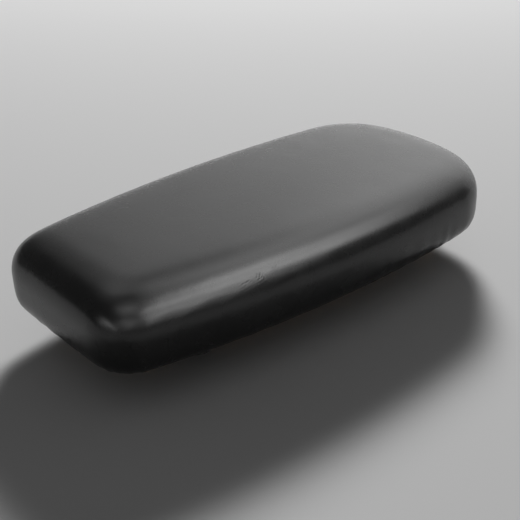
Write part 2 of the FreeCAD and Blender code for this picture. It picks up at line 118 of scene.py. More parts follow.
class Edge(IntEnum):
    """The arcs of the plan: ends, sides and corners, anticlockwise from the rear end."""

    REAR = 0
    REAR_RIGHT = 1
    RIGHT = 2
    FRONT_RIGHT = 3
    FRONT = 4
    FRONT_LEFT = 5
    LEFT = 6
    REAR_LEFT = 7


class Lights(Enum):
    """What a lamp falls on."""

    CUSHION = "cushion"
    FLOOR = "floor"


# Work in Blender's own operators


def select_only(obj: bpy.types.Object) -> None:
    """Leave one object selected and active.

    Args:
        obj: The object that the next operator is meant for.
    """
    bpy.ops.object.select_all(action="DESELECT")
    obj.select_set(True)
    bpy.context.view_layer.objects.active = obj


@contextmanager
def editing(obj: bpy.types.Object, action: str | None = "SELECT") -> Iterator[None]:
    """Hold an object in edit mode.

    Args:
        obj: The mesh object to edit.
        action: What is done with all its vertices first: SELECT, DESELECT or nothing.
    """
    select_only(obj)
    bpy.ops.object.mode_set(mode="EDIT")
    if action:
        bpy.ops.mesh.select_all(action=action)
    yield
    bpy.ops.object.mode_set(mode="OBJECT")


def apply_modifier(obj: bpy.types.Object, kind: str, **settings: Any) -> None:
    """Add a modifier with its settings and apply it at once.

    Args:
        obj: The mesh object that takes it.
        kind: The modifier's type.
        settings: Values for the modifier's own properties.
    """
    modifier = obj.modifiers.new(kind.lower(), kind)
    for name, value in settings.items():
        setattr(modifier, name, value)
    select_only(obj)
    bpy.ops.object.modifier_apply(modifier=modifier.name)


def rows_of(items: bpy.types.bpy_prop_collection, name: str) -> Array:
    """Read three numbers from each item of a mesh's own list.

    Args:
        items: The list, such as the mesh's vertices.
        name: The value to read.

    Returns:
        One row for each item.
    """
    flat = np.empty(len(items) * 3, np.float32)
    items.foreach_get(name, flat)
    return flat.reshape(-1, 3).astype(float)


def points_of(obj: bpy.types.Object) -> Array:
    """Where the vertices of a mesh are."""
    return rows_of(obj.data.vertices, "co")


def normals_of(obj: bpy.types.Object) -> Array:
    """Which way a mesh faces at each vertex."""
    return rows_of(obj.data.vertex_normals, "vector")


def move_points(obj: bpy.types.Object, points: Array) -> None:
    """Put the vertices of a mesh in new places, given as one row of x, y and z each."""
    obj.data.vertices.foreach_set("co", points.astype(np.float32).ravel())
    obj.data.update()


# Shader nodes


class NodeBoard:
    """A node tree that nodes are added to and joined in, in one call each."""

    colour_mix_inputs: tuple[int, ...] = (0, 6, 7)
    colour_mix_output: int = 2

    def __init__(self, tree: bpy.types.NodeTree) -> None:
        """Start on the tree of a material, a lamp or a node group."""
        self.tree = tree

    def add(self, kind: str, settings: dict[str, Any] | None = None, places: Iterable[tuple[int, Any]] = (),
            **inputs: Any) -> bpy.types.Node:
        """Add a node.

        Args:
            kind: The node's type.
            settings: Values for the node's own properties.
            places: Inputs by their place in the list, each with a value or another node's output.
            inputs: Inputs by name in the same way, with underscores for spaces.

        Returns:
            The new node.
        """
        node = self.tree.nodes.new(kind)
        for name, value in (settings or {}).items():
            setattr(node, name, value)
        for place, value in places:
            self.feed(node, place, value)
        for name, value in inputs.items():
            self.feed(node, name.replace("_", " "), value)
        return node

    def feed(self, node: bpy.types.Node, socket: str | int, value: Any) -> None:
        """Give an input its value or join it to another node's output.

        Args:
            node: The node that takes it.
            socket: The input's name or its place in the list.
            value: A plain value, or an output socket.
        """
        if isinstance(value, Socket):
            self.tree.links.new(value, node.inputs[socket])
        else:
            node.inputs[socket].default_value = value

    def math(self, operation: str, *values: Any) -> Socket:
        """The outcome of a Math node that takes its inputs in order."""
        return self.add("ShaderNodeMath", {"operation": operation}, enumerate(values)).outputs[0]

    def blend(self, factor: Any, low: Any, high: Any) -> Socket:
        """Two colours mixed, with a share of the second one."""
        places = zip(self.colour_mix_inputs, (factor, low, high))
        return self.add("ShaderNodeMix", {"data_type": "RGBA"}, places).outputs[self.colour_mix_output]

    def span(self, value: Any, low: float, high: float, to_low: float, to_high: float) -> Socket:
        """A value mapped from one range to another."""
        return self.add("ShaderNodeMapRange", None, enumerate((value, low, high, to_low, to_high))).outputs[0]

    def axes(self, vector: Socket) -> bpy.types.NodeOutputs:
        """The X, Y and Z of a vector."""
        return self.add("ShaderNodeSeparateXYZ", Vector=vector).outputs


def grey(level: float) -> tuple[float, float, float, float]:
    """A neutral colour of one level."""
    return (level, level, level, 1.0)


# Camera, floor and light


def direction(azimuth: float, elevation: float) -> Vector:
    """The unit vector at an azimuth, anticlockwise from +X, and an elevation, both in degrees."""
    turn, tilt = math.radians(azimuth), math.radians(elevation)
    return Vector((math.cos(turn) * math.cos(tilt), math.sin(turn) * math.cos(tilt), math.sin(tilt)))


@dataclass(frozen=True)
class Viewpoint:
    """The camera that looks at the cushion's front left corner from above."""

    azimuth: float = -130.165
    elevation: float = 28.219
    roll: float = -1.625
    distance: float = 0.65383
    look_at: tuple[float, float, float] = (0.0, 0.0, 0.030)
    aside: float = -0.001879
    above: float = -0.028746
    lens: float = 64.387
    near_limit: float = 0.01

    def build(self) -> None:
        """Make the camera and look through it."""
        back = direction(self.azimuth, self.elevation)
        level = direction(self.azimuth + 90.0, 0.0)
        upright = back.cross(level)
        roll = math.radians(self.roll)
        right = level * math.cos(roll) + upright * math.sin(roll)
        up = upright * math.cos(roll) - level * math.sin(roll)
        data = bpy.data.cameras.new("viewpoint")
        data.lens = self.lens
        data.clip_start = self.near_limit
        camera = bpy.data.objects.new("viewpoint", data)
        bpy.context.collection.objects.link(camera)
        pose = Matrix((right, up, back)).transposed().to_4x4()
        pose.translation = Vector(self.look_at) + right * self.aside + up * self.above + back * self.distance
        camera.matrix_world = pose
        bpy.context.scene.camera = camera


@dataclass(frozen=True)
class Softbox:
    """A studio lamp with an oblong face that fades toward its edges, aimed at the middle of the underside."""

    name: str
    azimuth: float
    elevation: float
    width: float
    height: float
    radiance: float
    roll: float = 0.0
    distance: float = 1.5
    falls_on: Lights = Lights.CUSHION

    def build(self, floor: bpy.types.Object) -> None:
        """Hang the lamp.

        Args:
            floor: The studio floor, which the lamp leaves out or keeps to.
        """
        toward = direction(self.azimuth, self.elevation)
        data = bpy.data.lights.new(self.name, "AREA")
        data.shape = "RECTANGLE"
        data.size, data.size_y = self.width, self.height
        data.energy = self.radiance * math.pi * self.width * self.height
        lamp = bpy.data.objects.new(self.name, data)
        bpy.context.collection.objects.link(lamp)
        lamp.location = toward * self.distance
        lamp.rotation_mode = "QUATERNION"
        aim = (-toward).to_track_quat("-Z", "Y")
        lamp.rotation_quaternion = aim @ Quaternion((0.0, 0.0, 1.0), math.radians(self.roll))
        lamp.visible_camera = False
        self.soften(data)
        linked = bpy.data.collections.new(f"{self.name}_floor")
        linked.objects.link(floor)
        keeps = self.falls_on is Lights.FLOOR
        linked.collection_objects[0].light_linking.link_state = "INCLUDE" if keeps else "EXCLUDE"
        lamp.light_linking.receiver_collection = linked

    def soften(self, data: bpy.types.AreaLight) -> None:
        """Make the lamp's face brightest in the middle.

        Args:
            data: The lamp's own data.
        """
        data.use_nodes = True
        board = NodeBoard(data.node_tree)
        face = board.axes(board.add("ShaderNodeNewGeometry").outputs["Parametric"])
        across, upward = (self.hump(board, face[axis]) for axis in "XY")
        board.feed(data.node_tree.nodes["Emission"], "Strength", board.math("MULTIPLY", across, upward))

    @staticmethod
    def hump(board: NodeBoard, share: Socket) -> Socket:
        """Rise smoothly from nothing at one edge of a lamp to 1 in its middle, and fall again.

        Args:
            board: The lamp's nodes.
            share: How far across the lamp a point is, from 0 to 1.

        Returns:
            The brightness there.
        """
        middle = 0.5
        rise = board.add("ShaderNodeMapRange", {"interpolation_type": "SMOOTHSTEP"}, From_Max=middle)
        board.feed(rise, "Value", board.math("PINGPONG", share, middle))
        return rise.outputs[0]


@dataclass(frozen=True)
class Studio:
    """A pale floor under the cushion, softboxes round it and a dim room."""

    floor_span: float = 40.0
    floor_level: float = 0.8
    floor_roughness: float = 0.9
    floor_specular: float = 0.1
    room_level: float = 0.08
    softboxes: tuple[Softbox, ...] = (
        Softbox("key_box", 311.0, 58.0, 0.90, 0.60, 8.8),
        Softbox("long_key_box", 297.0, 44.0, 2.00, 0.70, 7.3, -20.0),
        Softbox("left_box", 279.0, 30.0, 1.20, 0.66, 5.4),
        Softbox("low_left_box", 271.0, 16.0, 0.70, 0.55, 2.4),
        Softbox("left_rear_box", 325.0, 46.0, 0.90, 0.60, 3.6),
        Softbox("rear_left_box", 345.0, 38.0, 1.70, 1.30, 1.1),
        Softbox("rear_box", 15.0, 38.0, 1.70, 1.30, 2.1),
        Softbox("rear_right_box", 45.0, 38.0, 1.70, 1.30, 1.2),
        Softbox("right_box", 75.0, 38.0, 1.70, 1.30, 0.3),
        Softbox("low_rear_box", 0.0, 14.0, 1.70, 1.20, 1.0),
        Softbox("low_rear_right_box", 30.0, 14.0, 1.70, 1.20, 1.4),
        Softbox("low_right_box", 60.0, 14.0, 1.70, 1.20, 0.65),
        Softbox("high_rear_box", 0.0, 64.0, 1.60, 1.40, 2.6),
        Softbox("high_right_box", 90.0, 64.0, 1.60, 1.40, 1.0),
        Softbox("high_front_box", 225.0, 64.0, 1.60, 1.40, 1.5),
        Softbox("front_left_box", 232.0, 26.0, 1.90, 1.40, 1.3),
        Softbox("front_strip", 190.0, 15.0, 1.60, 0.60, 2.4, -23.0),
        Softbox("floor_wash", 44.0, 26.0, 2.20, 1.40, 165.0, distance=6.0, falls_on=Lights.FLOOR),
    )

    def build(self, floor_height: float) -> None:
        """Set the stage.

        Args:
            floor_height: The level that the cushion's bolt heads stand on.
        """
        bpy.ops.object.select_all(action="DESELECT")
        bpy.ops.mesh.primitive_plane_add(size=self.floor_span, location=(0.0, 0.0, floor_height))
        floor = bpy.context.object
        floor.name = "studio_floor"
        paint = bpy.data.materials.new("studio_floor_paint")
        paint.use_nodes = True
        shader = paint.node_tree.nodes["Principled BSDF"]
        shader.inputs["Base Color"].default_value = grey(self.floor_level)
        shader.inputs["Roughness"].default_value = self.floor_roughness
        shader.inputs["Specular IOR Level"].default_value = self.floor_specular
        floor.data.materials.append(paint)
        floor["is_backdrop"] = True
        for softbox in self.softboxes:
            softbox.build(floor)
        world = bpy.data.worlds.new("studio_room")
        world.use_nodes = True
        world.node_tree.nodes["Background"].inputs["Color"].default_value = grey(self.room_level)
        bpy.context.scene.world = world
        bpy.context.scene.view_settings.view_transform = "Standard"


# Shared surface effects


class Effect(Enum):
    """The shader node groups that several finishes share."""

    MOTTLE = "mottle"
    PEBBLING = "pebbling"
    BRUSHING = "brushing"


class SurfaceEffects:
    """Builds each shared node group once and hands it out."""

    noise_low: float = 0.3
    noise_high: float = 0.7
    pebble_noise_scale: float = 2.7
    pebble_noise_share: float = 0.3
    scale_along_lines: float = 0.06

    @classmethod
    def group(cls, effect: Effect) -> bpy.types.NodeTree:
        """Find a group, or build it the first time.

        Args:
            effect: The effect wanted.

        Returns:
            The node group, which turns a place and a scale into one value.
        """
        found = bpy.data.node_groups.get(effect.value)
        if found:
            return found
        tree = bpy.data.node_groups.new(effect.value, "ShaderNodeTree")
        tree.interface.new_socket("Vector", in_out="INPUT", socket_type="NodeSocketVector")
        tree.interface.new_socket("Scale", in_out="INPUT", socket_type="NodeSocketFloat")
        tree.interface.new_socket("Value", in_out="OUTPUT", socket_type="NodeSocketFloat")
        board = NodeBoard(tree)
        given = board.add("NodeGroupInput").outputs
        makers = {Effect.MOTTLE: cls.mottle, Effect.PEBBLING: cls.pebbling, Effect.BRUSHING: cls.brushing}
        board.add("NodeGroupOutput", Value=makers[effect](board, given["Vector"], given["Scale"]))
        return tree

    @classmethod
    def mottle(cls, board: NodeBoard, place: Socket, scale: Socket, detail: float = 3.0) -> Socket:
        """Cloudy patches from 0 to 1."""
        noise = board.add("ShaderNodeTexNoise", Vector=place, Scale=scale, Detail=detail)
        return board.span(noise.outputs[0], cls.noise_low, cls.noise_high, 0.0, 1.0)

    @classmethod
    def pebbling(cls, board: NodeBoard, place: Socket, scale: Socket) -> Socket:
        """Make small rounded cells with grooves between them.

        Args:
            board: The group's nodes.
            place: Where on the piece a point is.
            scale: How many times a metre the cells repeat.

        Returns:
            The height of the cells.
        """
        cells = board.add("ShaderNodeTexVoronoi", {"feature": "SMOOTH_F1"},
                          Vector=place, Scale=scale, Smoothness=0.6)
        finer = board.math("MULTIPLY", scale, cls.pebble_noise_scale)
        noise = board.add("ShaderNodeTexNoise", Vector=place, Scale=finer, Detail=2.0)
        domes = board.math("SUBTRACT", 1.0, cells.outputs["Distance"])
        return board.math("MULTIPLY_ADD", noise.outputs[0], cls.pebble_noise_share, domes)

    @classmethod
    def brushing(cls, board: NodeBoard, place: Socket, scale: Socket) -> Socket:
        """Fine lines drawn along X, from 0 to 1."""
        drawn = board.add("ShaderNodeMapping", Vector=place, Scale=(cls.scale_along_lines, 1.0, 1.0))
        return cls.mottle(board, drawn.outputs[0], scale, detail=4.0)


# Finishes


@dataclass(frozen=True)
class Finish:
    """What every finish is made of: two colours in cloudy patches, a range of gloss and a fine texture."""

    name: str
    dark: Colour
    light: Colour
    patch_scale: float
    smoothest: float
    roughest: float
    texture: Effect
    texture_scale: float
    texture_depth: float
    metallic: float = 0.0
    specular: float = 0.5

    def material(self) -> bpy.types.Material:
        """Make the material.

        Returns:
            The finished material.
        """
        made = bpy.data.materials.new(self.name)
        made.use_nodes = True
        board = NodeBoard(made.node_tree)
        shader = made.node_tree.nodes["Principled BSDF"]
        shader.inputs["Metallic"].default_value = self.metallic
        shader.inputs["Specular IOR Level"].default_value = self.specular
        place = board.add("ShaderNodeTexCoord").outputs["Object"]
        patches = self.effect(board, Effect.MOTTLE, place, self.patch_scale)
        board.feed(shader, "Base Color", self.colour(board, place, patches))
        board.feed(shader, "Roughness", board.span(patches, 0.0, 1.0, self.smoothest, self.roughest))
        board.feed(shader, "Normal", self.relief(board, place))
        return made

    @staticmethod
    def effect(board: NodeBoard, effect: Effect, place: Socket, scale: float) -> Socket:
        """The value of a shared effect that repeats a number of times a metre."""
        tree = SurfaceEffects.group(effect)
        return board.add("ShaderNodeGroup", {"node_tree": tree}, Vector=place, Scale=scale).outputs["Value"]

    def colour(self, board: NodeBoard, place: Socket, patches: Socket) -> Socket:
        """The finish's two colours, mixed by the cloudy patches."""
        return board.blend(patches, (*self.dark, 1.0), (*self.light, 1.0))

    def relief(self, board: NodeBoard, place: Socket) -> Socket:
        """The normal of the fine texture, laid over the coarse relief."""
        height = self.effect(board, self.texture, place, self.texture_scale)
        return self.raised(board, height, self.texture_depth, self.coarse_relief(board, place))

    def coarse_relief(self, board: NodeBoard, place: Socket) -> Socket | None:
        """The normal of what lies under the texture; most finishes have nothing there."""
        return None

    @staticmethod
    def raised(board: NodeBoard, height: Socket, depth: float, below: Socket | None = None) -> Socket:
        """Turn a height into a normal.

        Args:
            board: The material's nodes.
            height: The height's socket, from 0 to 1.
            depth: What a height of 1 is in metres.
            below: The normal of a relief under this one.

        Returns:
            The new normal.
        """
        node = board.add("ShaderNodeBump", Height=height, Distance=depth)
        if below is not None:
            board.feed(node, "Normal", below)
        return node.outputs[0]


@dataclass(frozen=True)
class CoverLeather(Finish):
    """Smooth black leather with a satin coat, a very fine grain and a faintly uneven stuffing under it."""

    name: str = "black_cover_leather"
    dark: Colour = (0.0026, 0.0026, 0.0026)
    light: Colour = (0.0038, 0.0038, 0.0038)
    patch_scale: float = 55.0
    smoothest: float = 0.25
    roughest: float = 0.29
    texture: Effect = Effect.PEBBLING
    texture_scale: float = 1300.0
    texture_depth: float = 1.2e-5
    wave_scale: float = 45.0
    wave_depth: float = 4e-5

    def coarse_relief(self, board: NodeBoard, place: Socket) -> Socket:
        """The normal of the stuffing's slow waves."""
        waves = self.effect(board, Effect.MOTTLE, place, self.wave_scale)
        return self.raised(board, waves, self.wave_depth)


@dataclass(frozen=True)
class OpenFoam(Finish):
    """Cream upholstery foam with open cells."""

    name: str = "cream_seat_foam"
    dark: Colour = (0.50, 0.43, 0.28)
    light: Colour = (0.66, 0.59, 0.42)
    patch_scale: float = 30.0
    smoothest: float = 0.85
    roughest: float = 0.95
    texture: Effect = Effect.PEBBLING
    texture_scale: float = 700.0
    texture_depth: float = 3e-4
    specular: float = 0.2


@dataclass(frozen=True)
class Plywood(Finish):
    """Pale plywood with its grain along X, and plies that show on the sawn edge."""

    name: str = "board_plywood"
    dark: Colour = (0.36, 0.22, 0.11)
    light: Colour = (0.56, 0.39, 0.22)
    patch_scale: float = 18.0
    smoothest: float = 0.55
    roughest: float = 0.75
    texture: Effect = Effect.BRUSHING
    texture_scale: float = 260.0
    texture_depth: float = 6e-5
    streak_share: float = 0.6
    plies: float = 5.0
    thickness: float = 0.009
    ply_shade: float = 0.45
    ply_level: float = 0.3
    steepest_face: float = 0.5

    def colour(self, board: NodeBoard, place: Socket, patches: Socket) -> Socket:
        """Streak the two colours along the grain and shade every second ply.

        Args:
            board: The material's nodes.
            place: Where on the piece a point is.
            patches: The value of the cloudy patches.

        Returns:
            The colour's socket.
        """
        streaks = self.effect(board, Effect.BRUSHING, place, self.texture_scale)
        cloud = board.math("MULTIPLY", patches, 1.0 - self.streak_share)
        share = board.math("MULTIPLY_ADD", streaks, self.streak_share, cloud)
        wood = board.blend(share, (*self.dark, 1.0), (*self.light, 1.0))
        turns = board.math("MULTIPLY", board.axes(place)["Z"], math.pi * self.plies / self.thickness)
        layer = board.math("GREATER_THAN", board.math("SINE", turns), 0.0)
        facing = board.axes(board.add("ShaderNodeNewGeometry").outputs["Normal"])["Z"]
        edge = board.math("LESS_THAN", board.math("ABSOLUTE", facing), self.steepest_face)
        shade = board.math("MULTIPLY", board.math("MULTIPLY", layer, edge), self.ply_shade)
        return board.blend(shade, wood, (*(level * self.ply_level for level in self.dark), 1.0))


@dataclass(frozen=True)
class PlatedSteel(Finish):
    """Bright zinc plating with fine drawing lines."""

    name: str = "zinc_plated_steel"
    dark: Colour = (0.46, 0.47, 0.49)
    light: Colour = (0.62, 0.62, 0.63)
    patch_scale: float = 150.0
    smoothest: float = 0.24
    roughest: float = 0.42
    texture: Effect = Effect.BRUSHING
    texture_scale: float = 2500.0
    texture_depth: float = 8e-6
    metallic: float = 1.0


@dataclass(frozen=True)
class BoltSteel(PlatedSteel):
    """Zinc plating on bolts whose shanks carry a right-handed thread."""

    name: str = "zinc_plated_bolt_steel"
    bolt_x: float = 0.095
    bolt_y: float = 0.030
    pitch: float = 0.001
    thread_depth: float = 4.5e-4
    thread_from: float = -0.0125

    def coarse_relief(self, board: NodeBoard, place: Socket) -> Socket:
        """Wind the thread round each shank, above the washers.

        Args:
            board: The material's nodes.
            place: Where on the piece a point is.

        Returns:
            The thread's normal.
        """
        axes = board.axes(place)
        across = board.math("SUBTRACT", board.math("ABSOLUTE", axes["X"]), self.bolt_x)
        aside = board.math("SUBTRACT", board.math("ABSOLUTE", axes["Y"]), self.bolt_y)
        hand = board.math("MULTIPLY", board.math("SIGN", axes["X"]), board.math("SIGN", axes["Y"]))
        angle = board.math("MULTIPLY", board.math("ARCTAN2", aside, across), hand)
        climb = board.math("MULTIPLY", axes["Z"], 1.0 / self.pitch)
        turns = board.math("SUBTRACT", climb, board.math("MULTIPLY", angle, 1.0 / math.tau))
        ridge = board.math("PINGPONG", board.math("FRACT", turns), 0.5)
        threaded = board.math("GREATER_THAN", axes["Z"], self.thread_from)
        height = board.math("MULTIPLY", board.math("MULTIPLY", ridge, 2.0), threaded)
        return self.raised(board, height, self.thread_depth)


@dataclass(frozen=True)
class StapleWire(PlatedSteel):
    """Galvanised wire, duller and a little warmer than plating."""

    name: str = "galvanised_staple_wire"
    dark: Colour = (0.42, 0.41, 0.38)
    light: Colour = (0.60, 0.59, 0.55)
    smoothest: float = 0.32
    roughest: float = 0.5


@dataclass(frozen=True)
class PowderCoat(Finish):
    """Black powder coat with an even orange peel."""

    name: str = "black_powder_coat"
    dark: Colour = (0.012, 0.012, 0.012)
    light: Colour = (0.020, 0.020, 0.020)
    patch_scale: float = 90.0
    smoothest: float = 0.38
    roughest: float = 0.52
    texture: Effect = Effect.PEBBLING
    texture_scale: float = 900.0
    texture_depth: float = 3e-5


# The cushion's form


def hill(distance: Array) -> Array:
    """A smooth hill that is 1 at no distance and almost gone at 2."""
    return np.exp(-(distance**2))


def fade(values: Array, low: float, high: float) -> Array:
    """A smooth step from 0 at one value to 1 at another."""
    share = np.clip((values - low) / (high - low), 0.0, 1.0)
    return share * share * (3.0 - 2.0 * share)


def distance_to_line(points: Array, start: Array, end: Array) -> Array:
    """Measure how far points lie from a straight line that ends at two others.

    Args:
        points: One row for each point.
        start: One end of the line.
        end: Its other end.

    Returns:
        One distance for each point.
    """
    line = end - start
    share = np.clip((points - start) @ line / (line @ line), 0.0, 1.0)
    return np.linalg.norm(points - start - share[:, None] * line, axis=1)


@dataclass(frozen=True)
class Arc:
    """One arc of the plan, drawn anticlockwise between two angles in radians."""

    centre: tuple[float, float]
    radius: float
    start: float
    end: float

    @property
    def length(self) -> float:
        """The arc's length along its curve."""
        return self.radius * (self.end - self.start)

    def point(self, share: float) -> tuple[float, float]:
        """The point at a share of the way along."""
        angle = self.start + (self.end - self.start) * share
        return (self.centre[0] + self.radius * math.cos(angle),
                self.centre[1] + self.radius * math.sin(angle))

    def mirrored(self) -> Arc:
        """The arc on the other side of the middle line."""
        x, y = self.centre
        return Arc((x, -y), self.radius, math.tau - self.end, math.tau - self.start)

    def polar(self, points: Array) -> tuple[Array, Array, Array]:
        """Measure points against the arc.

        Args:
            points: Rows that start with x and y.

        Returns:
            Each point's offset from the centre, its distance from there and its turn past the arc's start.
        """
        offset = points[:, :2] - np.array(self.centre)
        turned = (np.arctan2(offset[:, 1], offset[:, 0]) - self.start) % math.tau
        return offset, np.linalg.norm(offset, axis=1), turned


@dataclass(frozen=True)
class Place:
    """Where points lie against the plan: how far in, which way out and how far round."""

    depth: Array
    outward: Array
    round: Array


@dataclass(frozen=True)
class PlanOutline:
    """The cushion's plan at its widest: two ends, two sides and four corners, all arcs that touch."""

    length: float = 0.340
    width: float = 0.177
    widest_place: float = 0.031
    side_radius: float = 0.890
    front_radius: float = 2.140
    rear_radius: float = 0.260
    front_corner: float = 0.031
    rear_corner: float = 0.053

    def arcs(self, inset: float = 0.0, corner: float | None = None) -> list[Arc]:
        """Draw the plan taken in by an inset.

        Args:
            inset: How far inside the widest plan it lies.
            corner: One radius for all the corners, where they don't follow the inset.

        Returns:
            The eight arcs, in the order of Edge.
        """
        rear_x = self.length / 2 - self.rear_radius
        front_x = self.front_radius - self.length / 2
        side = (self.widest_place, self.width / 2 - self.side_radius)
        rear_r, front_r = self.rear_radius - inset, self.front_radius - inset
        side_r = self.side_radius - inset
        rear_corner_r = corner or self.rear_corner - inset
        front_corner_r = corner or self.front_corner - inset
        rear = self.corner_centre(rear_x, rear_r - rear_corner_r, side, side_r - rear_corner_r)
        front = self.corner_centre(front_x, front_r - front_corner_r, side, side_r - front_corner_r)
        at_rear = math.atan2(rear[1], rear[0] - rear_x)
        at_rear_side = math.atan2(rear[1] - side[1], rear[0] - side[0])
        at_front_side = math.atan2(front[1] - side[1], front[0] - side[0])
        at_front = math.atan2(front[1], front[0] - front_x)
        right = [
            Arc(rear, rear_corner_r, at_rear, at_rear_side),
            Arc(side, side_r, at_rear_side, at_front_side),
            Arc(front, front_corner_r, at_front_side, at_front),
        ]
        left = [arc.mirrored() for arc in reversed(right)]
        rear_end = Arc((rear_x, 0.0), rear_r, -at_rear, at_rear)
        front_end = Arc((front_x, 0.0), front_r, at_front, math.tau - at_front)
        return [rear_end, *right, front_end, *left]

    @staticmethod
    def corner_centre(end_x: float, to_end: float, side: tuple[float, float],
                      to_side: float) -> tuple[float, float]:
        """Find the centre of a corner arc on the +Y side.

        Args:
            end_x: The centre of the end arc, on the middle line.
            to_end: How far the corner's centre lies from it.
            side: The centre of the side arc.
            to_side: How far the corner's centre lies from that one.

        Returns:
            The centre's x and y.
        """
        gap = math.hypot(side[0] - end_x, side[1])
        along = (to_end**2 - to_side**2 + gap**2) / (2 * gap)
        off = math.sqrt(to_end**2 - along**2)
        unit = ((side[0] - end_x) / gap, side[1] / gap)
        foot = (end_x + along * unit[0], along * unit[1])
        choices = [(foot[0] - step * unit[1], foot[1] + step * unit[0]) for step in (off, -off)]
        return max(choices, key=lambda point: point[1])

    def trace(self, inset: float, corner: float, spacing: float) -> list[tuple[float, float]]:
        """List points round an inner outline.

        Args:
            inset: How far inside the widest plan it lies.
            corner: The radius of its corners.
            spacing: The longest step between points.

        Returns:
            Points in order, anticlockwise.
        """
        points = []
        for arc in self.arcs(inset, corner):
            steps = max(2, math.ceil(arc.length / spacing))
            points.extend(arc.point(step / steps) for step in range(steps))
        return points

    def way_round(self, edge: Edge, share: float) -> float:
        """The distance round the widest plan to a share of the way along one of its arcs."""
        arcs = self.arcs()
        return sum(passed.length for passed in arcs[:edge]) + arcs[edge].length * share

    def place(self, points: Array) -> Place:
        """Measure where points lie against the widest plan.

        Args:
            points: Rows that start with x and y.

        Returns:
            Their depth inside it, the way out of it and their distance round it.
        """
        depth = np.full(len(points), np.inf)
        outward = np.zeros((len(points), 2))
        along = np.zeros(len(points))
        travelled = 0.0
        for arc in self.arcs():
            offset, distance, turned = arc.polar(points)
            inside = (arc.radius - distance < depth) & (turned <= arc.end - arc.start + TINY)
            depth[inside] = arc.radius - distance[inside]
            outward[inside] = offset[inside] / np.maximum(distance[inside], TINY)[:, None]
            along[inside] = travelled + turned[inside] * arc.radius
            travelled += arc.length
        return Place(depth, outward, along)


@dataclass(frozen=True)
class CushionForm:
    """The stuffed form: a crowned top, soft shoulders, upright sides and a tuck to the flat underside."""

    plan: PlanOutline = PlanOutline()
    height: float = 0.056
    crown_across: float = 0.005
    crown_along: float = 0.0015
    shoulder_width: float = 0.032
    shoulder_drop: float = 0.0254
    shoulder_power: float = 2.3
    front_corner_ease: float = 0.012
    rear_corner_ease: float = 0.010
    tuck: float = 0.015
    tuck_power: float = 2.0

    def crown(self, points: Array) -> Array:
        """Work out the height of the crowned top.

        Args:
            points: Rows that start with x and y.

        Returns:
            One height for each point.
        """
        across = ((self.plan.width / 2) ** 2 + self.crown_across**2) / (2 * self.crown_across)
        along = ((self.plan.length / 2) ** 2 + self.crown_along**2) / (2 * self.crown_along)
        x, y = points[:, 0], points[:, 1]
        radius = across - (along - np.sqrt(along**2 - x**2))
        return self.height - across + np.sqrt(radius**2 - y**2)

    def settle(self, points: Array) -> Array:
        """Lay points that are near the form exactly on it.

        Args:
            points: Rows of x, y and z.

        Returns:
            The points moved onto the form.
        """
        laid = points.copy()
        at = self.plan.place(points)
        heights = points[:, 2]
        rim = points[:, :2] + at.outward * at.depth[:, None]
        upper = heights > self.height / 2
        on_top = (at.depth >= self.shoulder_width) & upper
        under = (at.depth >= self.tuck) & ~upper
        over_wall = heights > self.crown(rim) - self.shoulder_drop
        on_shoulder = (at.depth < self.shoulder_width) & over_wall & ~under
        on_tuck = (at.depth < self.tuck) & (heights < self.tuck)
        on_wall = ~(on_top | under | on_shoulder | on_tuck)
        laid[on_top, 2] = self.crown(points[on_top])
        laid[under, 2] = 0.0
        laid[on_wall, :2] = rim[on_wall]
        out = 1.0 - at.depth[on_shoulder] / self.shoulder_width
        up = 1.0 - (self.crown(points[on_shoulder]) - heights[on_shoulder]) / self.shoulder_drop
        out, up = self.round_off(out, np.maximum(up, 0.0), self.shoulder_power)
        inset = (1.0 - out) * self.shoulder_width
        laid[on_shoulder, :2] = rim[on_shoulder] - at.outward[on_shoulder] * inset[:, None]
        laid[on_shoulder, 2] = self.crown(laid[on_shoulder]) - (1.0 - up) * self.shoulder_drop
        out = 1.0 - at.depth[on_tuck] / self.tuck
        out, down = self.round_off(out, 1.0 - heights[on_tuck] / self.tuck, self.tuck_power)
        inset = (1.0 - out) * self.tuck
        laid[on_tuck, :2] = rim[on_tuck] - at.outward[on_tuck] * inset[:, None]
        laid[on_tuck, 2] = (1.0 - down) * self.tuck
        laid[on_top | on_shoulder, 2] -= self.corner_drop(laid[on_top | on_shoulder])
        return laid

    def corner_drop(self, points: Array) -> Array:
        """Work out how far the shoulders slope off more over the corners, where the leather is drawn down.

        Args:
            points: Rows that start with x and y.

        Returns:
            One drop for each point.
        """
        rounder = replace(self.plan, front_corner=self.plan.front_corner + self.front_corner_ease,
                          rear_corner=self.plan.rear_corner + self.rear_corner_ease)
        depth = self.plan.place(points).depth
        eased = depth + (rounder.place(points).depth - depth) * fade(depth, 0.0, self.shoulder_width)
        return self.shoulder_slope(eased) - self.shoulder_slope(depth)

    def shoulder_slope(self, depth: Array) -> Array:
        """How far the shoulder lies below the crowned top at a depth inside the plan."""
        out = np.clip(1.0 - depth / self.shoulder_width, 0.0, 1.0)
        return self.shoulder_drop * (1.0 - (1.0 - out**self.shoulder_power) ** (1.0 / self.shoulder_power))

    @staticmethod
    def round_off(out: Array, up: Array, power: float) -> tuple[Array, Array]:
        """Shares out and up, moved to a rounded edge: round at a power of 2, gentler at its ends above it."""
        reach = (out**power + up**power) ** (1.0 / power)
        return out / reach, up / reach


# The padded cover


@dataclass(frozen=True)
class Crinkle:
    """A short fine crease in the leather, with a little lip on both sides."""

    start: tuple[float, float, float]
    end: tuple[float, float, float]
    width: float
    depth: float
    lip: float = 0.45
    lip_place: float = 1.7

    def distance(self, points: Array) -> Array:
        """How far points lie from the crease's line."""
        return distance_to_line(points, np.array(self.start), np.array(self.end))

    def press(self, points: Array) -> Array:
        """How far the crease moves points along the normal."""
        away = self.distance(points) / self.width
        return self.depth * (self.lip * hill(away - self.lip_place) - hill(away))


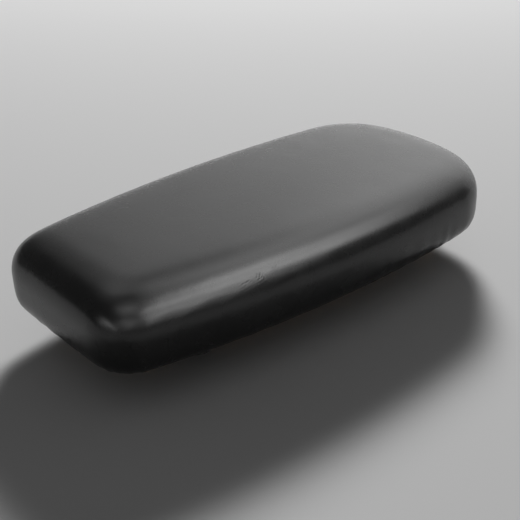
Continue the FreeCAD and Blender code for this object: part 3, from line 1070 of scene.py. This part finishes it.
@dataclass(frozen=True)
class Gathers:
    """Soft upright puckers where the leather is drawn under, from one place of the plan to another."""

    first: Edge
    first_share: float
    last: Edge
    last_share: float
    pitch: float
    depth: float
    top: float
    end_share: float = 0.25
    sway: float = 1.1
    sway_rate: float = 1.7
    sway_start: float = 1.3
    uneven_share: float = 0.35
    uneven_rate: float = 2.3
    full_height: float = 0.3
    full_depth: float = 0.4

    def lift(self, form: CushionForm, at: Place, heights: Array) -> Array:
        """Work out how far the puckers push the surface out.

        Args:
            form: The cushion's form.
            at: Where the points lie against the plan.
            heights: Each point's height.

        Returns:
            The move along the normal for each point.
        """
        start = form.plan.way_round(self.first, self.first_share)
        end = form.plan.way_round(self.last, self.last_share)
        along = (at.round - start) / (end - start)
        ends = fade(along, 0.0, self.end_share) * (1.0 - fade(along, 1.0 - self.end_share, 1.0))
        turns = at.round / self.pitch
        wave = np.cos(math.tau * turns + self.sway * np.sin(turns * self.sway_rate + self.sway_start))
        uneven = 1.0 - self.uneven_share + self.uneven_share * np.sin(turns * self.uneven_rate)
        low = 1.0 - fade(heights, self.full_height * self.top, self.top)
        low *= 1.0 - fade(at.depth, self.full_depth * form.tuck, form.tuck)
        return self.depth * ends * low * wave * uneven


@dataclass
class SeatCover:
    """The leather cover, swollen by the foam inside it and turned under the board."""

    form: CushionForm = field(default_factory=CushionForm)
    leather: CoverLeather = field(default_factory=CoverLeather)
    fill: float = 0.95
    thickness: float = 0.0012
    voxel: float = 0.0046
    sharp_angle: float = math.radians(50.0)
    underside_level: float = 0.0005
    slack: float = 0.0015
    pressure: float = 4.0
    steps: int = 20
    reach: float = 0.005
    ease: float = 0.0015
    swelling_share: float = 0.22
    seat_in: float = 0.0001
    refine_widths: tuple[float, ...] = (0.006, 0.003, 0.0016)
    dent_passes: int = 2
    pleat_passes: int = 1
    hem_width: float = 0.020
    hem_corner: float = 0.012
    hem_inside: tuple[float, float] = (0.0009, 0.003)
    window_bottom: float = -0.004
    window_height: float = 0.0066
    window_spacing: float = 0.003
    pleat_length: float = 0.016
    pleat_lead: float = 0.004
    pleat_height: float = 0.0009
    pleat_rise: float = 0.75
    pleat_fall: tuple[float, float] = (0.86, 0.98)
    front_pleats: int = 4
    rear_pleats: int = 6
    staple_level: float = 0.0001
    staple_reach: float = 0.0125
    staple_half_width: float = 0.0009
    staple_dent: float = 0.00066
    dent_spread: float = 2.6
    crinkles: tuple[Crinkle, ...] = (
        Crinkle((-0.0822, -0.0766, 0.0412), (-0.0779, -0.0768, 0.0418), 0.00055, 0.000050),
        Crinkle((-0.0806, -0.0773, 0.0403), (-0.0762, -0.0774, 0.0410), 0.00055, 0.000045),
        Crinkle((-0.0795, -0.0768, 0.0411), (-0.0768, -0.0768, 0.0420), 0.00050, 0.000042),
        Crinkle((-0.0718, -0.0774, 0.0419), (-0.0701, -0.0760, 0.0439), 0.00050, 0.000064),
        Crinkle((-0.0695, -0.0776, 0.0420), (-0.0680, -0.0765, 0.0436), 0.00050, 0.000064),
        Crinkle((-0.0712, -0.0781, 0.0408), (-0.0684, -0.0781, 0.0413), 0.00050, 0.000048),
        Crinkle((-0.0590, -0.0776, 0.0436), (-0.0572, -0.0769, 0.0447), 0.00050, 0.000064),
        Crinkle((-0.0572, -0.0780, 0.0432), (-0.0556, -0.0772, 0.0444), 0.00050, 0.000056),
        Crinkle((-0.1594, -0.0612, 0.0353), (-0.1582, -0.0630, 0.0337), 0.00060, 0.000056),
    )
    gathers: tuple[Gathers, ...] = (
        Gathers(Edge.LEFT, 0.58, Edge.REAR_LEFT, 0.10, 0.0150, 0.00024, 0.028),
        Gathers(Edge.LEFT, 0.00, Edge.LEFT, 0.62, 0.0260, 0.00012, 0.018),
        Gathers(Edge.RIGHT, 0.00, Edge.RIGHT, 1.00, 0.0230, 0.00020, 0.020),
        Gathers(Edge.REAR, 0.00, Edge.REAR_RIGHT, 0.00, 0.0170, 0.00025, 0.018),
        Gathers(Edge.FRONT, 0.00, Edge.FRONT_LEFT, 0.00, 0.0190, 0.00020, 0.016),
        Gathers(Edge.REAR_RIGHT, 0.00, Edge.RIGHT, 0.05, 0.0095, 0.00040, 0.014),
        Gathers(Edge.FRONT_RIGHT, 0.00, Edge.FRONT, 0.00, 0.0090, 0.00040, 0.014),
        Gathers(Edge.FRONT_LEFT, 0.00, Edge.LEFT, 0.02, 0.0090, 0.00035, 0.014),
        Gathers(Edge.REAR_LEFT, 0.00, Edge.REAR_LEFT, 1.00, 0.0100, 0.00040, 0.014),
    )

    def build(self) -> bpy.types.Object:
        """Model the cover.

        Returns:
            The cover, riding on the part's body in place of its plain solid.
        """
        cover = self.crowned_form()
        self.swell(cover)
        apply_modifier(cover, "SUBSURF", levels=1, render_levels=1)
        self.refine(cover)
        self.pucker(cover)
        apply_modifier(cover, "SOLIDIFY", thickness=self.thickness, offset=-1.0)
        self.flatten_inside(cover)
        self.open_underside(cover)
        select_only(cover)
        bpy.ops.object.shade_smooth_by_angle(angle=self.sharp_angle)
        self.dress(cover)
        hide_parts(Node.COVER.value)
        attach(cover, "root")
        return cover

    def dress(self, cover: bpy.types.Object) -> None:
        """Put the leather on the cover."""
        cover.data.materials.clear()
        cover.data.materials.append(self.leather.material())

    def crowned_form(self) -> bpy.types.Object:
        """Copy the plain cover's outer form and lay an even mesh over it.

        Returns:
            A closed form on the cushion's own surface.
        """
        source = bpy.data.objects[Node.COVER.value]
        cover = bpy.data.objects.new("padded_cover", source.data.copy())
        bpy.context.collection.objects.link(cover)
        with editing(cover):
            bpy.ops.mesh.remove_doubles(threshold=1e-6)
            bpy.ops.mesh.bisect(plane_co=(0.0, 0.0, 0.0), plane_no=(0.0, 0.0, 1.0), clear_inner=True)
            bpy.ops.mesh.select_all(action="SELECT")
            bpy.ops.mesh.convex_hull()
        apply_modifier(cover, "REMESH", mode="VOXEL", voxel_size=self.voxel)
        apply_modifier(cover, "SMOOTH", factor=0.5, iterations=3)
        move_points(cover, self.form.settle(points_of(cover)))
        return cover

    def swell(self, cover: bpy.types.Object) -> None:
        """Blow the cover up a little from inside, with its flat underside held.

        Args:
            cover: The closed form.
        """
        start = points_of(cover)
        free = start[:, 2] > self.thickness
        out = normals_of(cover)
        held = cover.vertex_groups.new(name="underside")
        held.add(np.flatnonzero(~free).tolist(), 1.0, "REPLACE")
        tight = start - out * self.slack * free[:, None]
        move_points(cover, tight)
        cloth = cover.modifiers.new("swelling", "CLOTH")
        cloth.settings.quality = 6
        cloth.settings.mass = 0.3
        cloth.settings.use_pressure = True
        cloth.settings.uniform_pressure_force = self.pressure
        cloth.settings.effector_weights.gravity = 0.0
        cloth.settings.vertex_group_mass = held.name
        cloth.point_cache.frame_start, cloth.point_cache.frame_end = 1, self.steps
        scene = bpy.context.scene
        for frame in range(1, self.steps + 1):
            scene.frame_set(frame)
        select_only(cover)
        bpy.ops.object.modifier_apply(modifier=cloth.name)
        scene.frame_set(1)
        move = points_of(cover) - tight
        far = np.linalg.norm(move, axis=1, keepdims=True)
        capped = tight + move * np.minimum(1.0, self.reach / np.maximum(far, TINY))
        proud = np.einsum("ij,ij->i", capped - start, out)
        eased = self.ease * np.log1p(np.exp(proud / self.ease))
        kept = self.even_out(cover, (eased * self.swelling_share - self.seat_in) * free)
        kept *= fade(start[:, 2], 0.0, self.form.tuck)
        move_points(cover, start + out * kept[:, None])
        LOG.info("stands proud of the solid: mean %.2f mm, from %.2f to %.2f mm",
                 kept.mean() / MM, kept.min() / MM, kept.max() / MM)

    @staticmethod
    def even_out(cover: bpy.types.Object, values: Array, rounds: int = 12) -> Array:
        """Smooth a value over a mesh.

        Args:
            cover: The mesh object.
            values: One value for each vertex.
            rounds: How often each value is mixed with its neighbours'.

        Returns:
            The smoothed values.
        """
        ends = np.empty(len(cover.data.edges) * 2, np.int32)
        cover.data.edges.foreach_get("vertices", ends)
        ends = ends.reshape(-1, 2)
        count = np.bincount(ends.ravel(), minlength=len(values))
        for _ in range(rounds):
            total = np.bincount(ends[:, 0], values[ends[:, 1]], len(values))
            total += np.bincount(ends[:, 1], values[ends[:, 0]], len(values))
            values = (values + total / count) / 2
        return values

    def staple_crowns(self) -> list[tuple[Array, Array]]:
        """Find the staples' crowns in the part.

        Returns:
            The two ends of each crown in plan.
        """
        points = points_of(bpy.data.objects[Node.STAPLES.value])
        low = np.unique(points[points[:, 2] < self.staple_level][:, :2].round(decimals=6), axis=0)
        crowns = []
        while len(low):
            near = np.linalg.norm(low - low[0], axis=1) < self.staple_reach
            group, low = low[near], low[~near]
            middle = group.mean(axis=0)
            axis = np.linalg.svd(group - middle)[2][0]
            half = np.abs((group - middle) @ axis).max() - self.staple_half_width
            crowns.append((middle - axis * half, middle + axis * half))
        return crowns

    def crown_distance(self, points: Array) -> Array:
        """How far points of the underside lie from the nearest staple."""
        distances = [distance_to_line(points[:, :2], start, end) for start, end in self.staple_crowns()]
        return np.min(distances, axis=0)

    def refine(self, cover: bpy.types.Object) -> None:
        """Give the mesh smaller faces where it is to be creased, pleated or dented.

        Args:
            cover: The closed form.
        """
        for turn, width in enumerate(self.refine_widths):
            points = points_of(cover)
            under = points[:, 2] < self.underside_level
            near = np.zeros(len(points), bool)
            for crinkle in self.crinkles:
                near |= crinkle.distance(points) < width
            if turn < self.dent_passes:
                near |= under & (self.crown_distance(points) < width)
            if turn < self.pleat_passes:
                near |= under & (self.pleat_drop(points) > 0.0)
            with editing(cover, "DESELECT"):
                bpy.ops.mesh.select_mode(type="VERT")
            cover.data.vertices.foreach_set("select", near)
            with editing(cover, None):
                bpy.ops.mesh.select_mode(type="FACE")
                bpy.ops.mesh.select_more()
                bpy.ops.mesh.subdivide(number_cuts=1, smoothness=0.0)

    def pleat_drop(self, points: Array) -> Array:
        """Work out how far the hem's corner pleats stand below the underside.

        Args:
            points: Rows that start with x and y.

        Returns:
            One drop for each point.
        """
        drop = np.zeros(len(points))
        arcs = self.form.plan.arcs(self.form.tuck + self.hem_width, self.hem_corner)
        counts = {Edge.REAR_RIGHT: self.rear_pleats, Edge.FRONT_RIGHT: self.front_pleats,
                  Edge.FRONT_LEFT: self.front_pleats, Edge.REAR_LEFT: self.rear_pleats}
        for edge, count in counts.items():
            arc = arcs[edge]
            _, distance, turned = arc.polar(points)
            share = turned / (arc.end - arc.start)
            inner, outer = arc.radius - self.pleat_lead, arc.radius + self.pleat_length
            within = (share < 1.0) & (distance > inner) & (distance < outer)
            fold = (share * count) % 1.0
            ramp = fade(fold, 0.0, self.pleat_rise) * (1.0 - fade(fold, *self.pleat_fall))
            taper = 1.0 - fade(distance, arc.radius, outer)
            drop = np.where(within, np.maximum(drop, self.pleat_height * ramp * taper), drop)
        return drop

    def pucker(self, cover: bpy.types.Object) -> None:
        """Press the creases, gathers, pleats and staple dents into the leather.

        Args:
            cover: The closed form.
        """
        points = points_of(cover)
        out = normals_of(cover)
        at = self.form.plan.place(points)
        lift = np.zeros(len(points))
        for crinkle in self.crinkles:
            lift += crinkle.press(points)
        for gathers in self.gathers:
            lift += gathers.lift(self.form, at, points[:, 2])
        moved = points + out * lift[:, None]
        under = points[:, 2] < self.underside_level
        moved[:, 2] -= self.pleat_drop(points) * under
        spread = self.staple_half_width * self.dent_spread
        dent = 1.0 - fade(self.crown_distance(points), self.staple_half_width, spread)
        moved[:, 2] = np.where(under, moved[:, 2] * (1.0 - dent) + self.staple_dent * dent, moved[:, 2])
        move_points(cover, moved)

    def flatten_inside(self, cover: bpy.types.Object) -> None:
        """Keep the inner side of the hem flat under the board.

        Args:
            cover: The closed shell.
        """
        points = points_of(cover)
        at = self.form.plan.place(points)
        low, high = self.hem_inside
        inner = (at.depth > self.form.tuck) & (points[:, 2] > low) & (points[:, 2] < high)
        points[inner, 2] = self.thickness
        move_points(cover, points)

    def open_underside(self, cover: bpy.types.Object) -> None:
        """Cut the window inside the hem.

        Args:
            cover: The closed shell.
        """
        rim = self.form.plan.trace(self.form.tuck + self.hem_width, self.hem_corner, self.window_spacing)
        bpy.ops.object.select_all(action="DESELECT")
        bpy.ops.mesh.primitive_circle_add(vertices=len(rim), fill_type="NGON", location=(0.0, 0.0, 0.0))
        cutter = bpy.context.object
        points = points_of(cutter)
        points[list(cutter.data.polygons[0].vertices)] = [(x, y, self.window_bottom) for x, y in rim]
        move_points(cutter, points)
        with editing(cutter):
            bpy.ops.mesh.extrude_region_move(TRANSFORM_OT_translate={"value": (0.0, 0.0, self.window_height)})
            bpy.ops.mesh.select_all(action="SELECT")
            bpy.ops.mesh.normals_make_consistent(inside=False)
        apply_modifier(cover, "BOOLEAN", object=cutter, operation="DIFFERENCE", solver="EXACT")
        bpy.data.objects.remove(cutter, do_unlink=True)


@dataclass
class HardwareFinishes:
    """The finishes of the solids that stay as they are: foam, board, staples and clamps."""

    finishes: dict[Node, Finish] = field(default_factory=lambda: {
        Node.FOAM: OpenFoam(),
        Node.BOARD: Plywood(),
        Node.STAPLES: StapleWire(),
        Node.TEE_NUTS: PlatedSteel(),
        Node.BOLTS: BoltSteel(),
        Node.FLAT_WASHERS: PlatedSteel(),
        Node.SPRING_WASHERS: PlatedSteel(),
        Node.FRONT_STRAP: PowderCoat(),
        Node.REAR_STRAP: PowderCoat(),
    })

    def dress(self) -> None:
        """Give every solid its finish, each finish made once."""
        made: dict[Finish, bpy.types.Material] = {}
        for node, finish in self.finishes.items():
            if finish not in made:
                made[finish] = finish.material()
            solid = bpy.data.objects[node.value]
            if not solid.material_slots:
                solid.data.materials.append(made[finish])
            for slot in solid.material_slots:
                slot.material = made[finish]
            LOG.info("%s: %s", node.value, finish.name)


def main() -> None:
    """Build the stage and the cushion."""
    logging.basicConfig(level=logging.INFO, format="%(message)s")
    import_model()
    solid_box = [list(corner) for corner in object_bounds()]
    Viewpoint().build()
    Studio().build(solid_box[0][2])
    cover = SeatCover().build()
    LOG.info("%s: %d faces", cover.name, len(cover.data.polygons))
    HardwareFinishes().dress()


if __name__ == "__main__":
    main()
